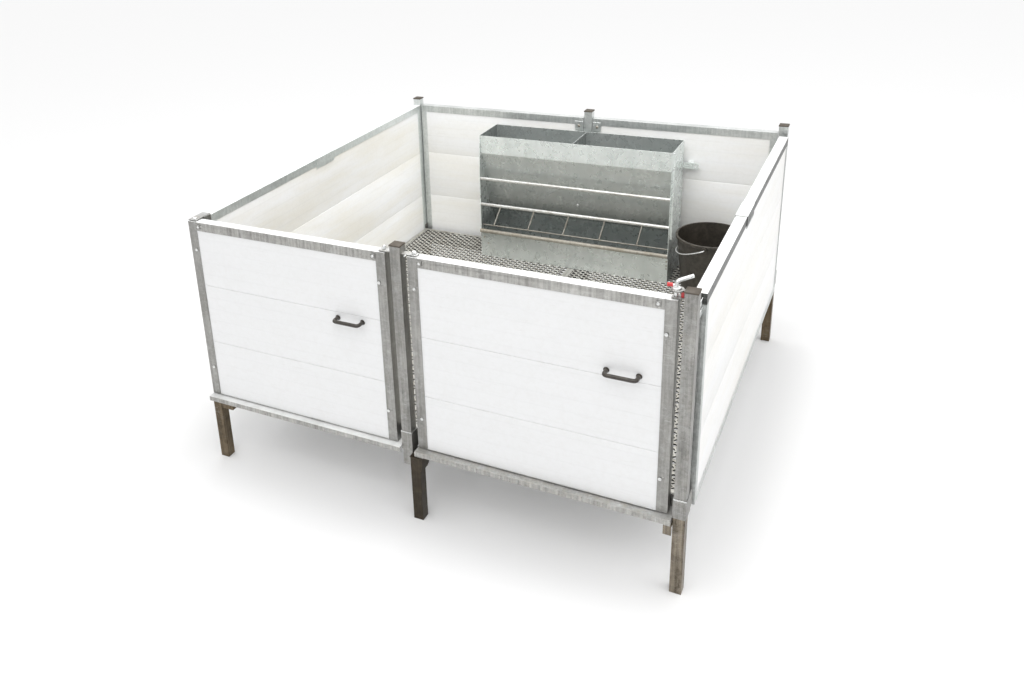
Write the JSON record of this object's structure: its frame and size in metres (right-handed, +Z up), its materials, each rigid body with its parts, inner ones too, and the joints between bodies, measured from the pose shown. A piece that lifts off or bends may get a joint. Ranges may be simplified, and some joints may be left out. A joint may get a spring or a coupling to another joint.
{
  "type": "pig weaning pen",
  "caption": "Raised pen of white hollow planks in galvanised frames on legs, with two swinging front gates, drop pins, mesh floor, wall feeder and loose bucket.",
  "frame": {"origin": "middle of the bounding box at ground level, under the feet", "axes": "+Z up, -Y out through the gates, +X to the right seen from the front"},
  "size_m": [1.9748, 1.9648, 1.1519],
  "materials": {
    "frame_steel": "hot dip galvanised, matt grey",
    "leg_steel": "galvanised tube, dull and dusty",
    "floor_steel": "galvanised, matt",
    "feeder_steel": "zinc coated sheet, satin",
    "pin_steel": "zinc plated, satin",
    "white_plastic": "white hollow plastic plank, satin",
    "dark_plastic": "black brown plastic",
    "bucket_plastic": "charcoal plastic, scuffed",
    "red_plastic": "red plastic"
  },
  "bodies": {
    "pen": {"back_centre_cap": "dark_plastic", "back_centre_post": "frame_steel", "back_left_cap": "dark_plastic", "back_left_post": "frame_steel", "back_left_wall_board": "white_plastic", "back_left_wall_frame": "frame_steel", "back_right_cap": "dark_plastic", "back_right_post": "frame_steel", "back_right_wall_board": "white_plastic", "back_right_wall_frame": "frame_steel", "feeder_body": "feeder_steel", "feeder_fixing_bar": "feeder_steel", "feeder_grille": "feeder_steel", "floor_beam_back": "floor_steel", "floor_beam_front": "floor_steel", "floor_beam_left": "floor_steel", "floor_beam_right": "floor_steel", "floor_centre_joist": "floor_steel", "floor_mesh_left": "floor_steel", "floor_mesh_right": "floor_steel", "front_centre_cap": "dark_plastic", "front_centre_post": "frame_steel", "front_left_post": "frame_steel", "front_right_cap": "dark_plastic", "front_right_post": "frame_steel", "latch_red_stop": "red_plastic", "left_gate_hinge_pin": "pin_steel", "left_sill": "frame_steel", "left_wall_board": "white_plastic", "left_wall_frame": "frame_steel", "left_wall_splice": "frame_steel", "leg_back_centre": "leg_steel", "leg_back_left": "leg_steel", "leg_back_right": "leg_steel", "leg_front_centre": "leg_steel", "leg_front_left": "leg_steel", "leg_front_right": "leg_steel", "right_gate_hinge_pin": "pin_steel", "right_sill": "frame_steel", "right_wall_board": "white_plastic", "right_wall_frame": "frame_steel", "right_wall_splice": "frame_steel"},
    "left_gate": {"left_gate_frame": "frame_steel", "left_gate_top_rail": "frame_steel", "left_gate_lower_plank": "white_plastic", "left_gate_middle_plank": "white_plastic", "left_gate_upper_plank": "white_plastic", "left_gate_handle": "dark_plastic"},
    "right_gate": {"right_gate_frame": "frame_steel", "right_gate_top_rail": "frame_steel", "right_gate_lower_plank": "white_plastic", "right_gate_middle_plank": "white_plastic", "right_gate_upper_plank": "white_plastic", "right_gate_handle": "dark_plastic"},
    "left_lock_pin": {"left_gate_lock_pin": "pin_steel"},
    "latch": {"latch_rod": "pin_steel", "latch_red_grip": "red_plastic"},
    "bucket": {"bucket": "bucket_plastic"},
    "bail": {"bucket_bail": "pin_steel"}
  },
  "joints": [
    {"name": "left_gate_hinge", "type": "hinge", "parent": "pen", "child": "left_gate", "pos_m": [-0.9659, -0.9226, 0.7], "axis": [0, 0, -1], "range_deg": [0, 95]},
    {"name": "right_gate_hinge", "type": "hinge", "parent": "pen", "child": "right_gate", "pos_m": [0.0111, -0.9226, 0.7], "axis": [0, 0, -1], "range_deg": [0, 95]},
    {"name": "left_lock_pin_lift", "type": "slide", "parent": "pen", "child": "left_lock_pin", "axis": [0, 0, 1], "range_m": [0, 0.035]},
    {"name": "latch_lift", "type": "slide", "parent": "pen", "child": "latch", "axis": [0, 0, 1], "range_m": [0, 0.035]},
    {"name": "bucket_lift", "type": "slide", "parent": "pen", "child": "bucket", "axis": [0, 0, 1], "range_m": [0, 0.75]},
    {"name": "bail_swing", "type": "hinge", "parent": "bucket", "child": "bail", "pos_m": [0.7071, 0.6994, 0.6183], "axis": [0, 1, 0], "range_deg": [0, 228]}
  ]
}
